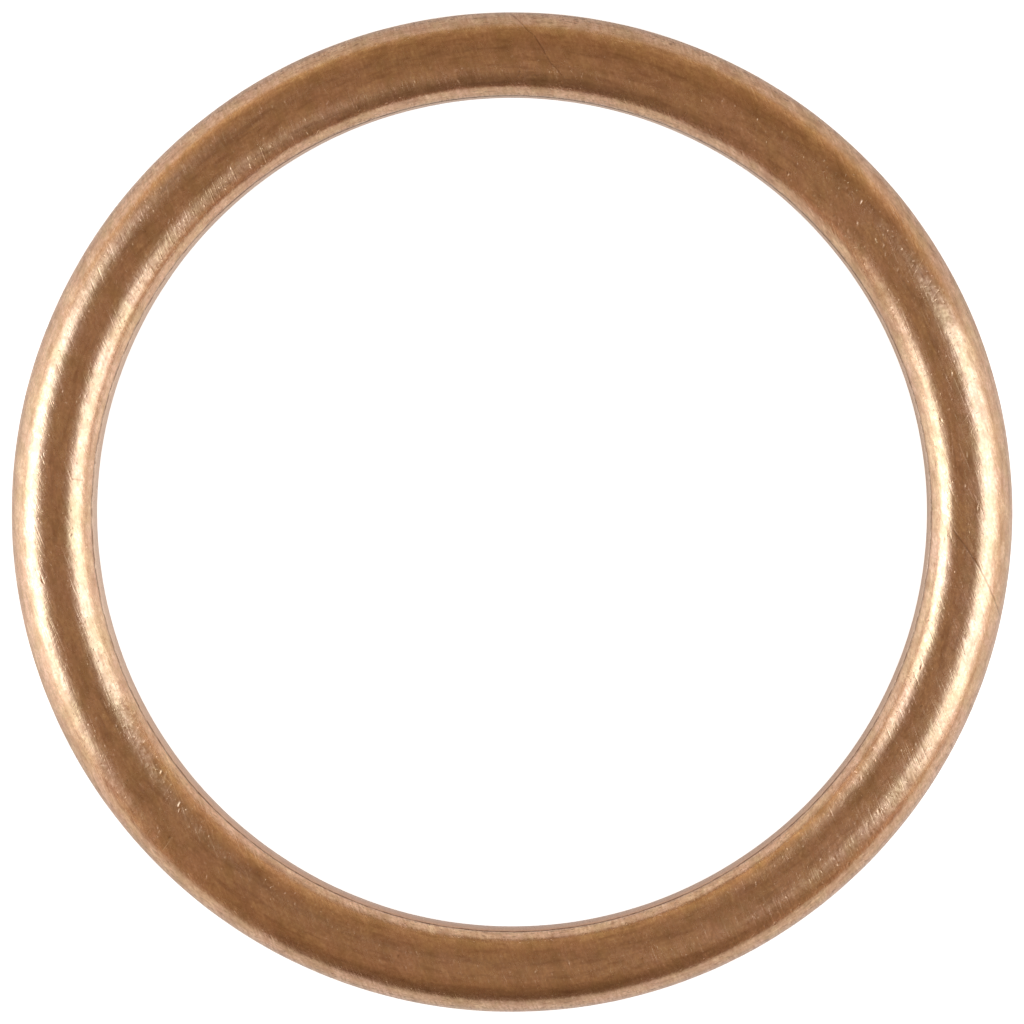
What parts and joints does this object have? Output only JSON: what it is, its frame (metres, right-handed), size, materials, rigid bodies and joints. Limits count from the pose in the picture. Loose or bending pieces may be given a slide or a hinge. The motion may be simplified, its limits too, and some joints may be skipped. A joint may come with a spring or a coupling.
{
  "type": "exhaust gasket",
  "caption": "Hollow copper crush ring of round section with a lap seam on its inner side, seals an exhaust pipe flange in a cylinder head port.",
  "frame": {"origin": "on the ring's axis, in the plane of the lower land that it lies on", "axes": "+Z along the ring's axis, towards the face that the lap seam is nearer to; +X and +Y across the ring, which is round, so their direction is free"},
  "size_m": [0.046, 0.046, 0.004],
  "materials": {
    "copper": "bare copper, brushed, with fine scratches, nicks and small dark pits"
  },
  "bodies": {
    "root": {"gasket_ring": "copper"}
  },
  "joints": []
}
